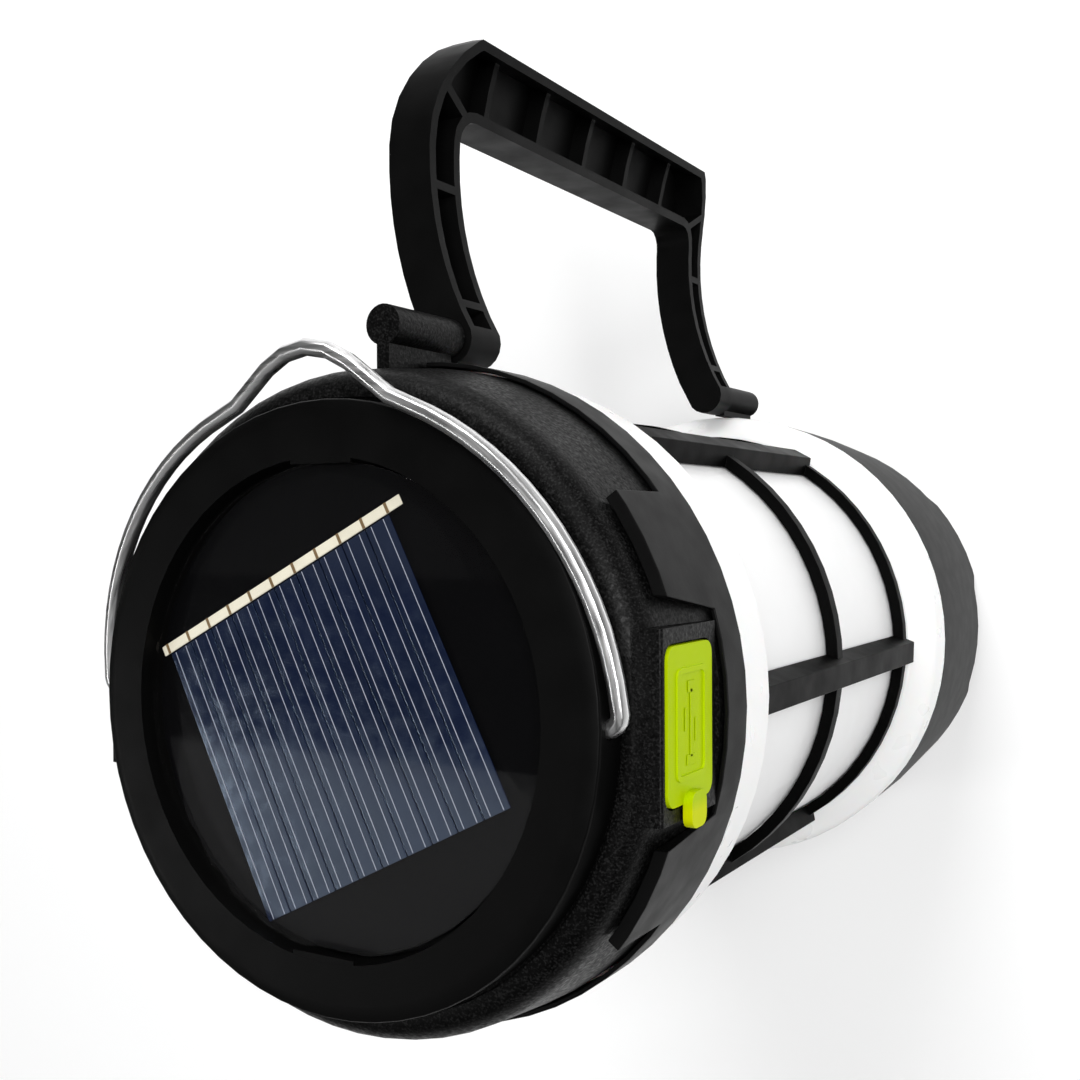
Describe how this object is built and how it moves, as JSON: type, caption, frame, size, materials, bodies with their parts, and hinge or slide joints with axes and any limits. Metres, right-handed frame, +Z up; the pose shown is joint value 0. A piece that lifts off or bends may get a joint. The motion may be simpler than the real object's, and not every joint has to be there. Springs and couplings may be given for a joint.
{
  "type": "solar lantern",
  "caption": "Cylindrical camping lantern with a solar panel on top, a caged light tube, a crowned torch head, a folding side handle and a wire bail.",
  "frame": {"origin": "middle of the torch lens's flat front face, which looks down while the lantern stands on the crown of its torch head", "axes": "+Z up along the body's axis to the solar panel, +X to the side with the USB port, +Y to the side with the carry handle"},
  "size_m": [0.0986, 0.1556, 0.1996],
  "materials": {
    "black_abs": "spark-textured and satin",
    "dark_grey_abs": "satin",
    "white_abs": "semi-gloss",
    "frosted_tube": "frosted, translucent",
    "spring_steel": "drawn wire, zinc plated",
    "nickel": "nickel plated",
    "aluminium": "satin",
    "lime_rubber": "moulded silicone rubber",
    "black_rubber": "moulded",
    "circuit_board": "solder mask",
    "panel_board": "black laminate",
    "solar_cell": "polycrystalline silicon",
    "bus_ribbon": "tinned copper",
    "clear_resin": "clear cast resin",
    "led_strip_board": "white solder mask",
    "battery_sleeve": "shrink sleeve over a steel can",
    "chromed_reflector": "vacuum metallised",
    "led_phosphor": "silicone dome over phosphor",
    "lens_glass": "clear acrylic"
  },
  "bodies": {
    "lantern_body": {"solar_cap": "black_abs", "top_housing": "black_abs", "bumper_ring": "black_abs", "cage": "black_abs", "battery_cradle": "black_abs", "button_switch": "black_abs", "head_housing": "dark_grey_abs", "upper_collar": "white_abs", "lower_collar": "white_abs", "light_core": "white_abs", "upper_end_plate": "white_abs", "lower_end_plate": "white_abs", "usb_socket_tongue": "white_abs", "diffuser_tube": "frosted_tube", "board_screw_1": "spring_steel", "board_screw_2": "spring_steel", "board_screw_3": "spring_steel", "board_screw_4": "spring_steel", "head_screw_1": "spring_steel", "head_screw_2": "spring_steel", "head_screw_3": "spring_steel", "head_screw_4": "spring_steel", "usb_socket_shell": "nickel", "battery_strip_1": "nickel", "battery_strip_2": "nickel", "switch_bracket": "nickel", "heat_sink": "aluminium", "torch_led_board": "aluminium", "lens_gasket": "black_rubber", "main_board": "circuit_board", "solar_backing_board": "panel_board", "solar_cell_01": "solar_cell", "solar_cell_02": "solar_cell", "solar_cell_03": "solar_cell", "solar_cell_04": "solar_cell", "solar_cell_05": "solar_cell", "solar_cell_06": "solar_cell", "solar_cell_07": "solar_cell", "solar_cell_08": "solar_cell", "solar_cell_09": "solar_cell", "solar_cell_10": "solar_cell", "cell_bus_strip": "bus_ribbon", "solar_resin_cover": "clear_resin", "led_board_1": "led_strip_board", "led_board_2": "led_strip_board", "led_board_3": "led_strip_board", "led_board_4": "led_strip_board", "led_board_5": "led_strip_board", "led_board_6": "led_strip_board", "battery_cell_1": "battery_sleeve", "battery_cell_2": "battery_sleeve", "reflector": "chromed_reflector", "torch_led": "led_phosphor", "torch_lens": "lens_glass"},
    "carry_handle": {"handle": "black_abs"},
    "wire_bail": {"bail": "spring_steel"},
    "port_flap": {"usb_flap": "lime_rubber"},
    "mode_button_cap": {"mode_button": "black_rubber"}
  },
  "joints": [
    {"name": "carry_handle_hinge", "type": "hinge", "parent": "lantern_body", "child": "carry_handle", "pos_m": [0, 0.0538, 0.10695], "axis": [0, 0, 1], "range_deg": [-118, 55]},
    {"name": "wire_bail_hinge", "type": "hinge", "parent": "lantern_body", "child": "wire_bail", "pos_m": [0, 0, 0.1889], "axis": [1, 0, 0], "range_deg": [-6, 172]},
    {"name": "usb_flap_hinge", "type": "hinge", "parent": "lantern_body", "child": "port_flap", "pos_m": [0.0478, 0.0098, 0.1784], "axis": [0, 0, 1], "range_deg": [0, 110]},
    {"name": "mode_button_press", "type": "slide", "parent": "lantern_body", "child": "mode_button_cap", "axis": [1, 0, 0], "range_m": [0, 0.001], "stiffness_N_per_m": 500}
  ]
}
